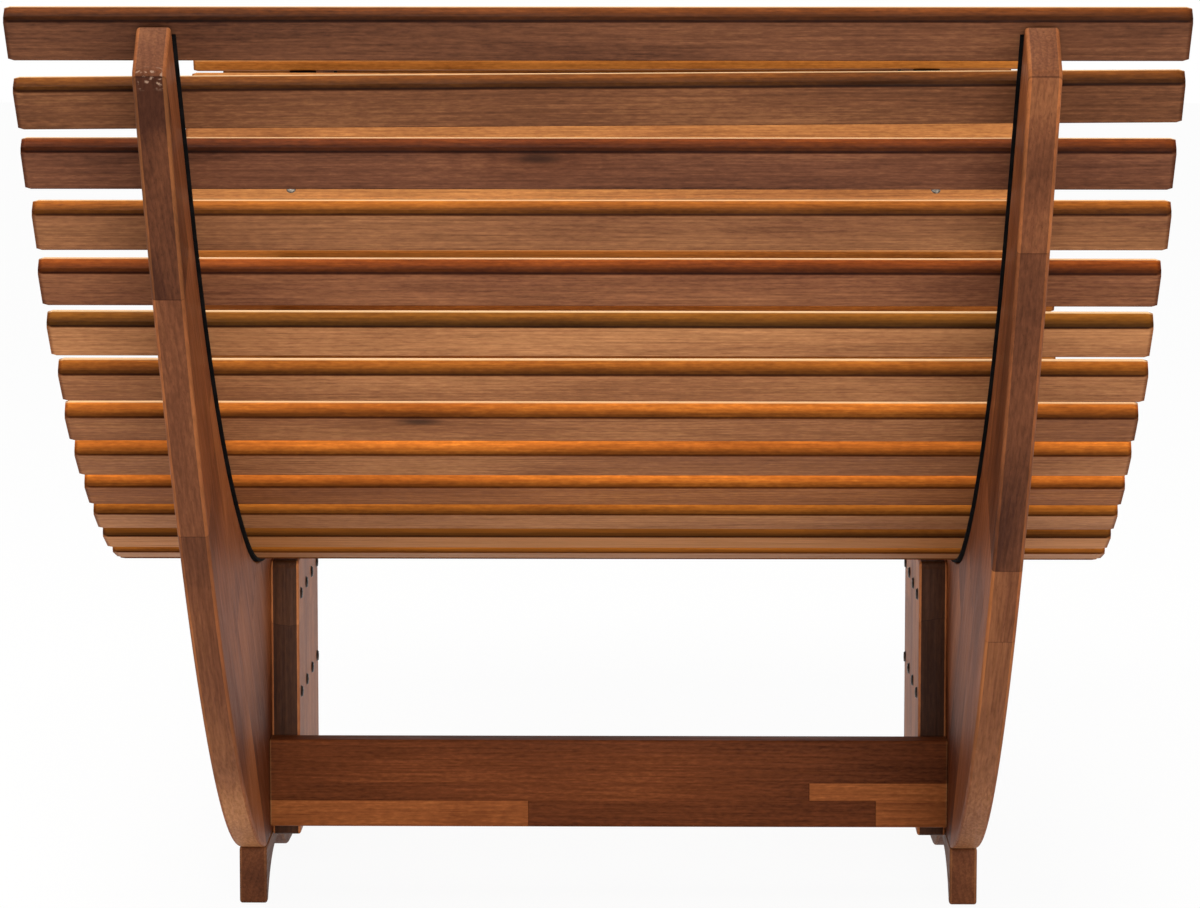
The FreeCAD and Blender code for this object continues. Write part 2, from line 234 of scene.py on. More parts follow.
cloudRange = (0.25, 0.75)


def grainNoise(tree, grain, key):
    repeats, *character = grainNoises[key]
    return noise(tree, stretched(tree, grain, repeats), *character)


def panelStaves(tree, local, stave):
    # a glued panel of staves with finger-jointed ends: a random tone for each, and dark glue lines
    along, across, through = axes(tree, local)
    width, length = stave["width"], stave["length"]
    rowPlace = calc(tree, "DIVIDE", plus(tree, across, stave["shift"]), width)
    row = calc(tree, "FLOOR", rowPlace)
    rowNoise = put(tree, "ShaderNodeTexWhiteNoise", {"W": row}, noise_dimensions="1D").outputs["Value"]
    slanted = plus(tree, across, times(tree, through, fingers["lean"]))
    zigzag = calc(tree, "PINGPONG", slanted, fingers["half"])
    moved = plus(tree, along, times(tree, zigzag, fingers["slope"]), times(tree, rowNoise, length))
    endPlace = calc(tree, "DIVIDE", plus(tree, moved, stave["slide"]), length)
    cell = combined(tree, row, calc(tree, "FLOOR", endPlace), stave["seed"])
    shade = put(tree, "ShaderNodeTexWhiteNoise", {"Vector": cell}, noise_dimensions="3D").outputs["Value"]
    rowLine = fade(tree, calc(tree, "PINGPONG", rowPlace, 0.5), 0.0, glueLine["row"] / width)
    endLine = fade(tree, calc(tree, "PINGPONG", endPlace, 0.5), 0.0, glueLine["end"] / length)
    tone = plus(tree, times(tree, shade, stave["contrast"]), stave["base"])
    return tone, tone, most(tree, rowLine, endLine)


def glueMark(tree, value, place):
    return fade(tree, gap(tree, value, place), glueLine["core"], glueLine["rim"])


def placedStaves(tree, local, rows):
    # rows of staves, given one by one, each (bottom, [(start, tone, half width of a soft change), ...]);
    # a stave without a soft change has a butt end with a dark glue line
    along, height, _ = axes(tree, local)
    tone, log, glue = 0.0, 0.0, 0.0
    for number, (bottom, staves) in enumerate(rows):
        rowTone, rowLog, rowGlue = staves[0][1], logs["row"] * number, 0.0
        for (start, shade, *blend), before in zip(staves[1:], staves):
            soft = blend[0] if blend else glueLine["butt"]
            step = spread(tree, along, start - soft, start + soft)
            rowTone = plus(tree, rowTone, times(tree, step, shade - before[1]))
            if not blend:
                rowLog = plus(tree, rowLog, times(tree, step, logs["stave"]))
                rowGlue = most(tree, rowGlue, glueMark(tree, along, start))
        if number == 0:
            tone, log, glue = rowTone, rowLog, rowGlue
            continue
        change = spread(tree, gap(tree, rowTone, tone), 0.0, glueLine["contrast"])
        line = times(tree, glueMark(tree, height, bottom), change)
        above = calc(tree, "GREATER_THAN", height, bottom)
        below = rest(tree, above)
        pairs = ((tone, rowTone), (log, rowLog), (glue, rowGlue))
        tone, log, glue = [
            plus(tree, times(tree, below, low), times(tree, above, high)) for low, high in pairs]
        glue = most(tree, glue, line)
    return tone, log, glue


def knotMarks(tree, grain, local, placed):
    # rare round spots that push the grain aside; a slat may also have one at a place of its own
    repeats = knots["repeats"]
    cells = put(tree, "ShaderNodeTexVoronoi", {"Vector": stretched(tree, grain, repeats), "Scale": 1.0})
    centre = stretched(tree, cells.outputs["Position"], [1 / part for part in repeats])
    reach = lengthOf(tree, stretched(tree, joined(tree, "SUBTRACT", grain, centre), knots["squash"]))
    chance = put(tree, "ShaderNodeSeparateColor", {0: cells.outputs["Color"]}).outputs[0]
    present = calc(tree, "GREATER_THAN", chance, knots["rare"])
    core = times(tree, fade(tree, reach, *knots["core"]), present)
    swirl = times(tree, fade(tree, reach, 0.0, knots["swirl"]), present)
    if placed:
        spot = combined(tree, attribute(tree, "knot"), *slatKnot["spot"])
        reach = lengthOf(tree, stretched(tree, joined(tree, "SUBTRACT", local, spot), slatKnot["squash"]))
        core = most(tree, core, spread(tree, reach, *slatKnot["core"], slatKnot["strength"], 0.0))
        swirl = most(tree, swirl, fade(tree, reach, 0.0, slatKnot["swirl"]))
    return core, swirl


def lateWood(tree, grain, local, log, swirl, ringGap):
    # growth rings about a wandering heart, seen as long lines on the faces
    _, across, through = axes(tree, local)
    side = plus(tree, across, times(tree, log, rings["logStep"]))
    depth = plus(tree, through, rings["heartDepth"])
    radius = calc(tree, "SQRT", plus(tree, times(tree, side, side), times(tree, depth, depth)))
    for key in ("bend", "ripple"):
        radius = plus(tree, radius, times(tree, grainNoise(tree, grain, key), rings[key]))
    radius = plus(tree, radius, times(tree, swirl, rings["swirl"]))
    ring = calc(tree, "FRACT", calc(tree, "DIVIDE", radius, ringGap))
    darkening = spread(tree, ring, rings["early"], rings["late"])
    return times(tree, darkening, fade(tree, ring, rings["late"], 1.0))


def woodColour(tree, look, marks):
    # from deep to pale by the sum of all marks
    centred = {key: minus(tree, marks[key], 0.5) for key in ("streak", "cloud", "tone", "speck")}
    parts = [times(tree, centred[key], shares[key]) for key in ("streak", "cloud", "tone")]
    parts.append(times(tree, marks["late"], shares["late"]))
    parts.append(times(tree, centred["speck"], look["speck"]))
    shade = calc(tree, "ADD", plus(tree, *parts), 0.5, clamp=True)
    ramp = put(tree, "ShaderNodeValToRGB", {0: shade})
    ends = ramp.color_ramp.elements
    ends[0].position, ends[0].color = stops["deep"], look["deep"]
    ends[1].position, ends[1].color = stops["pale"], look["pale"]
    for key in ("heart", "warm"):
        ends.new(stops[key]).color = look[key]
    colour = ramp.outputs["Color"]
    fibreTone = spread(tree, marks["fibre"], *fibreRange, *strengths["fibre"])
    colour = tinted(tree, 1.0, colour, grey(tree, fibreTone))
    colour = tinted(tree, times(tree, marks["pores"], strengths["pores"]), colour, look["poreTone"])
    colour = tinted(tree, times(tree, marks["swirl"], strengths["swirl"]), colour, look["swirlTone"])
    return mixed(tree, "MIX", times(tree, marks["core"], strengths["core"]), colour, look["knotTone"])


# slats: a chamfered batten on each CAD slat's place, with its own tone and small askews;
# keys 1 to 13 are the slats that show their backs in the photo, from the head down
slats = {
    "length": 0.700,
    "width": 0.0360,
    "thick": 0.0135,
    "chamfer": 0.0025,
    "arrisSteps": 1,
    "endEase": 0.062,
    "endSpan": 0.0028,
    "sections": 29,
    "crowding": 3.0,
    "smooth": 40,
    "seed": 11,
    "skewJitter": 0.0011,
    "slideJitter": 0.0012,
    "skews": {2: -0.0095, 27: 0.006},
    "shifts": {22: -0.0024, 27: -0.0025},
    # tones are the boards' own colours, and for the lower slats 9 to 13 also painted fill light
    "tones": {1: 0.12, 2: 0.30, 3: 0.14, 4: 0.56, 5: 0.46, 6: 1.02, 7: 0.80, 8: 0.76, 9: 0.84, 10: 0.74,
              11: 1.02, 12: 1.40, 13: 1.42},
    # the far slats' random tones, set lighter as painted top light
    "farTones": (0.85, 1.15),
    "faceHues": {1: (0.94, 1.0, 1.06), 2: (0.98, 1.04, 1.02), 3: (0.95, 0.98, 1.10), 4: (1.0, 1.06, 1.10),
                 5: (1.0, 1.0, 1.06), 10: (1.04, 0.94, 0.76), 12: (1.06, 1.0, 0.84)},
    # edgeTones and edgeHues: each near slat's edge colour, both the board's own and painted light
    "edgeTones": {1: 1.05, 2: 1.05, 3: 1.00, 4: 1.32, 5: 1.00, 6: 0.52, 7: 0.94, 8: 1.65, 9: 2.00, 10: 2.15,
                  11: 1.18, 12: 0.62, 13: 1.80},
    "edgeHues": {2: (0.96, 1.08, 1.0), 3: (1.04, 0.86, 0.85), 4: (1.0, 1.05, 0.9), 5: (1.08, 0.88, 0.8),
                 6: (0.97, 1.06, 0.9)},
    # the far slats' edges lighter as painted light
    "farEdge": (1.15, 1.35, 2.00),
    # the least of the painted shade on the edges of the near slats, then of the far slats
    "edgeShadeFloor": 0.16,
    "farEdgeShadeFloor": 0.75,
    "knots": {3: -0.036, 8: -0.118},
    "knotAway": 9.0,
}
slatMarks = {
    "edgeTint": (1.40, 0.98, 0.30, 1),
    "topWeatherAndLightTint": (1.18, 1.06, 0.74, 1),
    "shadeLineTone": (0.22, 0.14, 0.10, 1),
    "endTone": (0.58, 0.50, 0.46, 1),
    "shadeLineStrength": 0.8,
    "edge": (-0.0002, 0.0006),
    "top": (-0.0012, -0.0004),
    "edgeShadeTop": 0.7,
    "shadeLineShift": 0.0004,
    "line": (0.0003, 0.0011),
    "shadeLineDepth": (0.0006, 0.0018),
    "topHighlight": (-0.0037, -0.0027),
    "topHighlightLeast": 0.75,
    "ends": (-0.0040, -0.0020),
}


def slatFinish(tree, local, colour, cloud, look):
    # the narrow edges are tinted orange and darker downward as painted shade, with a painted shade line at
    # the underside arris and a painted highlight along the top arris
    def past(value, base, span, toLow=0.0, toHigh=1.0):
        return spread(tree, value, base + span[0], base + span[1], toLow, toHigh)

    along, width, depth = axes(tree, local)
    across = calc(tree, "ABSOLUTE", width)
    rim = slats["width"] / 2 - slats["chamfer"]
    high = slats["thick"] / 2
    edge = past(across, rim, slatMarks["edge"])
    colour = tinted(tree, rest(tree, edge), colour, attribute(tree, "faceHue", "Color"))
    # the top faces warmer and lighter: weathering and painted top light
    colour = tinted(tree, past(depth, high, slatMarks["top"]), colour, slatMarks["topWeatherAndLightTint"])
    # painted shade: each edge darkens towards the underside, down to its slat's floor value
    foot = attribute(tree, "edgeShadeFloor")
    edgeShade = spread(tree, depth, -high, high * slatMarks["edgeShadeTop"], slats["edgeShadeFloor"], 1.0)
    # each slat's edge tone, partly painted light
    edgeTone = attribute(tree, "edgeTone", "Color")
    for tint in (slatMarks["edgeTint"], grey(tree, most(tree, foot, edgeShade)), edgeTone):
        colour = tinted(tree, edge, colour, tint)
    # a painted shade line along the underside arris
    line = fade(tree, gap(tree, across, rim + slatMarks["shadeLineShift"]), *slatMarks["line"])
    line = times(tree, line, past(depth, -high, slatMarks["shadeLineDepth"], 1.0, 0.0))
    colour = tinted(tree, times(tree, line, slatMarks["shadeLineStrength"]), colour, slatMarks["shadeLineTone"])
    # a painted highlight along the top arris, uneven and weaker on the far slats
    topHighlight = times(tree, edge, past(depth, high, slatMarks["topHighlight"]))
    uneven = spread(tree, cloud, *cloudRange, slatMarks["topHighlightLeast"], 1.0)
    topHighlight = times(tree, topHighlight, uneven, rest(tree, foot))
    colour = mixed(tree, "MIX", topHighlight, colour, look["wearAndHighlight"])
    ends = past(calc(tree, "ABSOLUTE", along), slats["length"] / 2, slatMarks["ends"])
    return tinted(tree, ends, colour, slatMarks["endTone"])


def boardFinish(tree, local, colour, cloud, look, stave):
    # darker rims, with painted shade on the plates' rims; broad faces in painted light and shade by height;
    # scuffs;
    # and arrises paler from wear and a painted highlight
    along, across, _ = axes(tree, local)
    rim = attribute(tree, "rim")
    colour = tinted(tree, rim, colour, stave["rimTone"])
    # painted light and shade on the broad faces, by height
    if "faceLightHigh" in stave:
        level = spread(tree, axes(tree, objectPlace(tree))[2], *faceLightLevels)
        faceLightHigh = mixed(tree, "MIX", level, stave["faceLightLow"], stave["faceLightHigh"])
        colour = tinted(tree, rest(tree, rim), colour, faceLightHigh)
    scuff = stave.get("scuff")
    if scuff:
        patch = fade(tree, gap(tree, along, scuff["place"]), scuff["core"], scuff["reach"])
        below = fade(tree, across, scuff["top"] - scuff["soft"], scuff["top"])
        scratch = spread(tree, grainNoise(tree, local, "scratch"), *scuffRange)
        patch = times(tree, patch, scratch, below, rim, scuff["strength"])
        colour = mixed(tree, "MIX", patch, colour, scuff["tone"])
    # arrises paler: wear, and a painted highlight
    wearAndHighlight = spread(tree, cloud, *cloudRange, wearAndHighlightLeast * look["arrisWearAndHighlight"], look["arrisWearAndHighlight"])
    return mixed(tree, "MIX", times(tree, attribute(tree, "arris"), wearAndHighlight), colour, look["warmLine"])


def makeWood(name, look, stave=None):
    material, tree, output = newMaterial(name)
    local = attribute(tree, "grain", "Vector")
    glue = None
    if not stave:
        tone = log = attribute(tree, "tint")
    elif "rows" in stave:
        tone, log, glue = placedStaves(tree, local, stave["rows"])
    else:
        tone, log, glue = panelStaves(tree, local, stave)
    grain = joined(tree, "ADD", local, combined(tree, times(tree, log, logs["shift"])))
    marks = {key: grainNoise(tree, grain, key) for key in ("streak", "cloud", "fibre", "speck")}
    marks["tone"] = tone
    marks["pores"] = spread(tree, grainNoise(tree, grain, "pore"), *poreRange)
    marks["core"], marks["swirl"] = knotMarks(tree, grain, local, placed=not stave)
    marks["late"] = lateWood(tree, grain, local, log, marks["swirl"], look["ringGap"])
    colour = woodColour(tree, look, marks)
    if glue:
        colour = tinted(tree, times(tree, glue, strengths["glue"]), colour, look["glueTone"])
    if stave:
        colour = boardFinish(tree, local, colour, marks["cloud"], look, stave)
    else:
        colour = slatFinish(tree, local, colour, marks["cloud"], look)
    gloss = spread(tree, marks["fibre"], *fibreRange, *[look["roughness"] + swing for swing in glossSwing])
    height = times(tree, marks["fibre"], heights["fibre"])
    for key in ("pores", "late"):
        height = minus(tree, height, times(tree, marks[key], heights[key]))
    finishShader(tree, output, colour, gloss, height, look["relief"], {"Specular IOR Level": look["sheen"]})
    return material


# the boards' woods: panels with random staves, and staves set out as on the photo's cheeks and bar
faceLightLevels = (0.12, 0.24)  # heights between which a broad face goes from its lower painted light tone to its upper painted light tone
farAway = -9.0  # before the first stave of any row
sleek = dict(acacia, speck=0.18, arrisWearAndHighlight=0.24)
cheekPanel = {"width": 0.062, "length": 0.31, "shift": 0.0, "slide": 0.0, "seed": 3.0, "contrast": 0.55,
              "base": 0.16, "rimTone": (0.92, 0.88, 0.86, 1)}
runnerPanel = {"width": 0.080, "length": 0.62, "shift": 0.02, "slide": 0.1, "seed": 6.0, "contrast": 0.30,
               "base": 0.10, "rimTone": (0.80, 0.74, 0.70, 1)}
# the plates' rims are dark as oiled end grain and darker still as painted shade where they sit recessed under
# the slats
platePanel = {"width": 0.070, "length": 0.24, "shift": 0.0, "slide": 0.0, "seed": 5.0, "contrast": 0.30,
              "base": 0.86, "rimTone": (0.16, 0.12, 0.09, 1), "faceLightHigh": (1.30, 1.06, 0.89, 1),
              "faceLightLow": (1.30, 1.06, 0.89, 1)}
cheekUpper = [
    (-0.077, [(farAway, 0.36), (-0.70, 0.40), (-0.45, 0.55), (-0.25, 0.30)]),
    (-0.010, [(farAway, 0.35), (-0.35, 0.60), (-0.20, 0.42)]),
    (0.060, [(farAway, 0.50), (-0.20, 0.30)]),
]
# the last staves of each rear row, where the cheek turns to face down, are lighter as painted light bounced
# from the floor
cheekSides = {
    "left": {
        "rear": [(farAway, -0.05), (-1.032, -0.62, 0.010), (-1.000, -0.12, 0.012), (-0.868, 0.34),
                 (-0.657, 0.14), (-0.60, 0.34, 0.03), (-0.43, 0.52, 0.04), (-0.34, 1.35, 0.05)],
        "scuff": {"place": -1.030, "core": 0.0032, "reach": 0.008, "top": -0.070, "soft": 0.004,
                  "strength": 0.5, "tone": (0.46, 0.30, 0.21, 1)},
    },
    "right": {
        "rear": [(farAway, 0.70), (-0.99, 0.12, 0.03), (-0.95, 0.36, 0.02), (-0.905, 0.22),
                 (-0.73, 0.14, 0.05), (-0.623, 0.50), (-0.545, 0.30), (-0.42, 0.62, 0.05),
                 (-0.345, 0.95, 0.04)],
        "scuff": None,
    },
}
barStaves = {
    "rows": [
        (0.0, [(-0.25, 0.74), (-0.059, 0.10), (0.197, 0.70)]),
        (0.020, [(-0.25, 0.12), (0.148, 0.66)]),
        (0.0335, [(-0.25, 0.12)]),
    ],
    "rimTone": (1.0, 0.76, 0.52, 1),
}


def makeCheekWood(side):
    rows = [(farAway, cheekSides[side]["rear"])] + cheekUpper
    return makeWood(f"{side}CheekWood", sleek, {
        "rows": rows, "rimTone": (0.94, 0.90, 0.88, 1), "faceLightHigh": (1.50, 1.24, 0.96, 1),
        "faceLightLow": (0.66, 0.46, 0.35, 1), "scuff": cheekSides[side]["scuff"]})


slatWood = makeWood("slatWood", acacia)
cheekWood = makeWood("cheekWood", sleek, cheekPanel)
cheekPair = [makeCheekWood(side) for side in cheekSides]
runnerWood = makeWood("runnerWood", sleek, runnerPanel)
barWood = makeWood("barWood", acacia, barStaves)
plateWood = makeWood("plateWood", dict(acacia, sheen=0.13, arrisWearAndHighlight=0.14), platePanel)


def makeBandRubber(name, look):
    material, tree, output = newMaterial(name)
    spot = objectPlace(tree)
    dust = noise(tree, stretched(tree, spot, look["dustRepeats"]), 4.0)
    nap = noise(tree, stretched(tree, spot, look["napRepeats"]), 2.0)
    colour = mixed(tree, "MIX", spread(tree, dust, *look["dustRange"]), look["black"], look["dusty"])
    gloss = spread(tree, nap, *look["napRange"], *look["roughness"])
    finishShader(tree, output, colour, gloss, nap, look["relief"], {"Specular IOR Level": look["sheen"]})
    return material


bandRubber = makeBandRubber("bandRubber", {
    "black": (0.003, 0.003, 0.003, 1), "dusty": (0.009, 0.008, 0.008, 1), "dustRepeats": (90.0, 90.0, 90.0),
    "dustRange": (0.35, 0.8), "napRepeats": (1600.0, 1600.0, 1600.0), "napRange": (0.3, 0.7),
    "roughness": (0.70, 0.92), "relief": (0.35, 0.0004), "sheen": 0.03})


def makeDowelWood(name, look):
    material, tree, output = newMaterial(name)
    fibre = noise(tree, stretched(tree, objectPlace(tree), look["repeats"]), 3.0)
    colour = mixed(tree, "MIX", spread(tree, fibre, *fibreRange), look["dark"], look["light"])
    gloss = spread(tree, fibre, *fibreRange, *look["roughness"])
    finishShader(tree, output, colour, gloss, fibre, look["relief"], {})
    return material


dowelWood = makeDowelWood("dowelWood", {
    "dark": (0.42, 0.27, 0.14, 1), "light": (0.62, 0.45, 0.27, 1), "repeats": (1400.0, 1400.0, 45.0),
    "roughness": (0.62, 0.75), "relief": (0.2, 0.0003)})


steel = {"bloomRepeats": (420.0, 420.0, 420.0), "bloomRange": (0.35, 0.75),
         "scratchRepeats": (2400.0, 900.0, 2400.0), "scratchRange": (0.3, 0.7),
         "roughness": (0.30, 0.52), "relief": (0.12, 0.0002), "metal": 0.85}


def makeScrewSteel(name, dark, bright):
    material, tree, output = newMaterial(name)
    spot = objectPlace(tree)
    bloom = noise(tree, stretched(tree, spot, steel["bloomRepeats"]), 4.0)
    scratch = noise(tree, stretched(tree, spot, steel["scratchRepeats"]), 2.0)
    colour = mixed(tree, "MIX", spread(tree, bloom, *steel["bloomRange"]), dark, bright)
    gloss = spread(tree, scratch, *steel["scratchRange"], *steel["roughness"])
    finishShader(tree, output, colour, gloss, scratch, steel["relief"], {"Metallic": steel["metal"]})
    return material


screwSteel = makeScrewSteel("screwSteel", (0.030, 0.022, 0.018, 1), (0.075, 0.058, 0.048, 1))
slatScrewSteel = makeScrewSteel("slatScrewSteel", (0.06, 0.05, 0.04, 1), (0.20, 0.17, 0.14, 1))
print("materials:", len(bpy.data.materials))


# meshes and node trees
def linkPiece(name, mesh, material, replaced):
    piece = bpy.data.objects.new(name, mesh)
    scene.collection.objects.link(piece)
    if material is not None:
        mesh.materials.clear()
        mesh.materials.append(material)
    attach(piece, "root")
    if replaced:
        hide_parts(*replaced)
    return piece


def setAttribute(mesh, key, values, domain="POINT"):
    values = np.asarray(values, np.float32)
    kind, field = ("FLOAT_VECTOR", "vector") if values.ndim == 2 else ("FLOAT", "value")
    mesh.attributes.new(key, kind, domain).data.foreach_set(field, values.ravel())


def carrier(name, spots, numbers):
    # points with their attributes, for a node tree to work on
    mesh = bpy.data.meshes.new(name)
    mesh.from_pydata(spots, [], [])
    for key, values in numbers.items():
        setAttribute(mesh, key, values)
    piece = bpy.data.objects.new(name, mesh)
    scene.collection.objects.link(piece)
    return piece


def grow(holder, tree, settings):
    # run the tree on its carrier and keep the plain mesh
    modifier = holder.modifiers.new("grow", "NODES")
    modifier.node_group = tree
    sockets = {item.name: item.identifier for item in tree.interface.items_tree if item.in_out == "INPUT"}
    for key, value in settings.items():
        modifier[sockets[key]] = value
    bpy.context.view_layer.update()
    graph = bpy.context.evaluated_depsgraph_get()
    mesh = bpy.data.meshes.new_from_object(holder.evaluated_get(graph))
    holder.modifiers.clear()
    bpy.data.objects.remove(holder)
    return mesh


def newTree(name, sizes):
    tree = bpy.data.node_groups.new(name, "GeometryNodeTree")
    tree.interface.new_socket("Geometry", in_out="INPUT", socket_type="NodeSocketGeometry")
    for key in sizes:
        kind = "NodeSocketMaterial" if key == "Finish" else "NodeSocketFloat"
        tree.interface.new_socket(key, in_out="INPUT", socket_type=kind)
    tree.interface.new_socket("Geometry", in_out="OUTPUT", socket_type="NodeSocketGeometry")
    return tree, put(tree, "NodeGroupInput").outputs, put(tree, "NodeGroupOutput")


def named(tree, key, kind="FLOAT"):
    node = put(tree, "GeometryNodeInputNamedAttribute", {"Name": key}, data_type=kind)
    return node.outputs["Attribute"]


def keep(tree, geometry, key, value, kind, domain):
    node = put(tree, "GeometryNodeStoreNamedAttribute", data_type=kind, domain=domain)
    feed(tree, node.inputs["Geometry"], geometry)
    feed(tree, node.inputs["Name"], key)
    feed(tree, node.inputs["Value"], value)
    return node.outputs["Geometry"]


def turned(tree, first, euler):
    # a rotation followed by a turn about its own axes
    node = put(tree, "FunctionNodeRotateRotation", rotation_space="LOCAL")
    feed(tree, node.inputs[0], first)
    feed(tree, node.inputs[1], put(tree, "FunctionNodeEulerToRotation", {0: euler}).outputs[0])
    return node.outputs[0]


def setOut(tree, given, result, item, rotation):
    # one item on every carrier point, as a painted plain mesh
    row = put(tree, "GeometryNodeInstanceOnPoints", {"Points": given["Geometry"], "Instance": item})
    feed(tree, row.inputs["Rotation"], rotation)
    solid = put(tree, "GeometryNodeRealizeInstances", {"Geometry": row.outputs["Instances"]})
    painted = put(tree, "GeometryNodeSetMaterial", {"Geometry": solid.outputs["Geometry"]})
    feed(tree, painted.inputs["Material"], given["Finish"])
    feed(tree, result.inputs["Geometry"], painted.outputs["Geometry"])


def smoothByAngle(mesh, degrees):
    mesh.polygons.foreach_set("use_smooth", np.ones(len(mesh.polygons), bool))
    mesh.set_sharp_from_angle(angle=math.radians(degrees))
    mesh.update()


def slatTree():
    tree, given, result = newTree("slatRow", ["Length", "Width", "Thick", "Chamfer", "End Ease", "Finish"])
    half = times(tree, given["Length"], 0.5)
    # sections along the slat, crowded towards its ends
    line = put(tree, "GeometryNodeCurvePrimitiveLine").outputs["Curve"]
    line = put(tree, "GeometryNodeResampleCurve", {"Curve": line, "Count": slats["sections"]}).outputs[0]
    share = put(tree, "GeometryNodeSplineParameter").outputs["Factor"]
    signed = minus(tree, times(tree, share, 2.0), 1.0)
    inward = rest(tree, calc(tree, "ABSOLUTE", signed))
    crowd = rest(tree, calc(tree, "POWER", inward, slats["crowding"]))
    place = times(tree, crowd, calc(tree, "SIGN", signed), half)
    spot = combined(tree, place)
    line = put(tree, "GeometryNodeSetPosition", {"Geometry": line, "Position": spot}).outputs[0]
    # the last millimetres draw in a little
    position = put(tree, "GeometryNodeInputPosition").outputs[0]
    fromEnd = minus(tree, half, calc(tree, "ABSOLUTE", axes(tree, position)[0]))
    eased = put(tree, "ShaderNodeMapRange", {"Value": fromEnd, "From Min": 0.0, "From Max": slats["endSpan"]})
    eased.interpolation_type = "SMOOTHERSTEP"
    feed(tree, eased.inputs["To Min"], rest(tree, given["End Ease"]))
    eased.inputs["To Max"].default_value = 1.0
    profile = put(tree, "GeometryNodeCurvePrimitiveQuadrilateral")
    feed(tree, profile.inputs["Width"], given["Width"])
    feed(tree, profile.inputs["Height"], given["Thick"])
    # a fillet of one step is a flat chamfer
    profile = put(tree, "GeometryNodeFilletCurve", {
        "Curve": profile.outputs["Curve"], "Radius": given["Chamfer"], "Count": slats["arrisSteps"],
        "Limit Radius": True}, mode="POLY")
    # the swept profile stands across X: local Y is the width and local Z the thickness
    sweep = put(tree, "GeometryNodeCurveToMesh", {
        "Curve": line, "Profile Curve": profile.outputs["Curve"], "Scale": eased.outputs["Result"],
        "Fill Caps": True})
    body = keep(tree, sweep.outputs["Mesh"], "grain", position, "FLOAT_VECTOR", "POINT")
    lean = put(tree, "FunctionNodeEulerToRotation", {0: combined(tree, named(tree, "lean"))}).outputs[0]
    setOut(tree, given, result, body, turned(tree, lean, combined(tree, z=named(tree, "skew"))))
    return tree


def slatPlaces():
    # centre and lean of each CAD slat, read from its own corners
    places = []
    for name in sorted(key for key in cadNodes if key.startswith("slat_") and key[5:].isdigit()):
        points = np.array([vertex.co for vertex in cadNodes[name].data.vertices])[:, 1:]
        points = np.unique(points.round(6), axis=0)
        middle = (points.min(0) + points.max(0)) / 2
        lay = np.linalg.svd(points - points.mean(0))[2][0]
        if lay[0] < 0:
            lay = -lay
        middle = middle + lay * slats["shifts"].get(int(name[5:]), 0.0)
        places.append((name, middle, math.atan2(lay[1], lay[0])))
    return places


def buildSlats():
    dice = random.Random(slats["seed"])
    places = slatPlaces()
    plain = (1.0, 1.0, 1.0)
    spots = []
    numbers = {key: [] for key in ("lean", "skew", "tint", "faceHue", "edgeTone", "edgeShadeFloor", "knot")}
    for number, (_, middle, lean) in enumerate(places, start=1):
        spots.append((dice.uniform(-1, 1) * slats["slideJitter"], middle[0], middle[1]))
        near = number in slats["tones"]
        edgeHue = slats["edgeHues"].get(number, plain)
        numbers["lean"].append(lean)
        numbers["skew"].append(slats["skews"].get(number, dice.uniform(-1, 1) * slats["skewJitter"]))
        numbers["tint"].append(slats["tones"].get(number, dice.uniform(*slats["farTones"])))
        numbers["faceHue"].append(slats["faceHues"].get(number, plain))
        numbers["edgeTone"].append(
            [slats["edgeTones"][number] * part for part in edgeHue] if near else slats["farEdge"])
        numbers["edgeShadeFloor"].append(slats["edgeShadeFloor"] if near else slats["farEdgeShadeFloor"])
        numbers["knot"].append(slats["knots"].get(number, slats["knotAway"]))
    length = slats["length"] - 2 * slats["slideJitter"]
    mesh = grow(carrier("slatCarrier", spots, numbers), slatTree(), {
        "Length": length, "Width": slats["width"], "Thick": slats["thick"], "Chamfer": slats["chamfer"],
        "End Ease": slats["endEase"], "Finish": slatWood})
    mesh.name = "slats"
    smoothByAngle(mesh, slats["smooth"])
    linkPiece("slats", mesh, None, [name for name, _, _ in places])
    return places


slatSpots = buildSlats()
print("slats:", len(slatSpots))

# side boards, cut from glued panels; the turn is the grain's lay in the side view, in degrees
boards = {
    "rear_cheek": {"turn": -42.0, "ease": 0.0022, "corner": 0.004, "finish": cheekPair},
    "front_cheek": {"turn": 36.0, "ease": 0.0022, "corner": 0.004, "finish": [cheekWood] * 2},
    "runner": {"turn": 0.0, "ease": 0.0018, "corner": 0.0038, "finish": [runnerWood] * 2},
    "front_leg": {"turn": 90.0, "ease": 0.0020, "corner": 0.0, "finish": [runnerWood] * 2},
    "splice_plate": {"turn": 90.0, "ease": 0.0018, "corner": 0.0038, "finish": [plateWood] * 2},
}
rounding = {"weld": 1e-5, "shortest": 2e-5, "sharp": 25.0, "room": 0.48, "cornerSteps": 6, "easeSteps": 4,
            "tightest": 0.3, "smooth": 32}


def weldedCopy(nodeName):
    shape = bmesh.new()
    shape.from_mesh(cadNodes[nodeName].data)
    bmesh.ops.remove_doubles(shape, verts=shape.verts, dist=rounding["weld"])
    return shape


def loopArea(loop):
    return sum(a[0] * b[1] - b[0] * a[1] for a, b in zip(loop, loop[1:] + loop[:1])) / 2


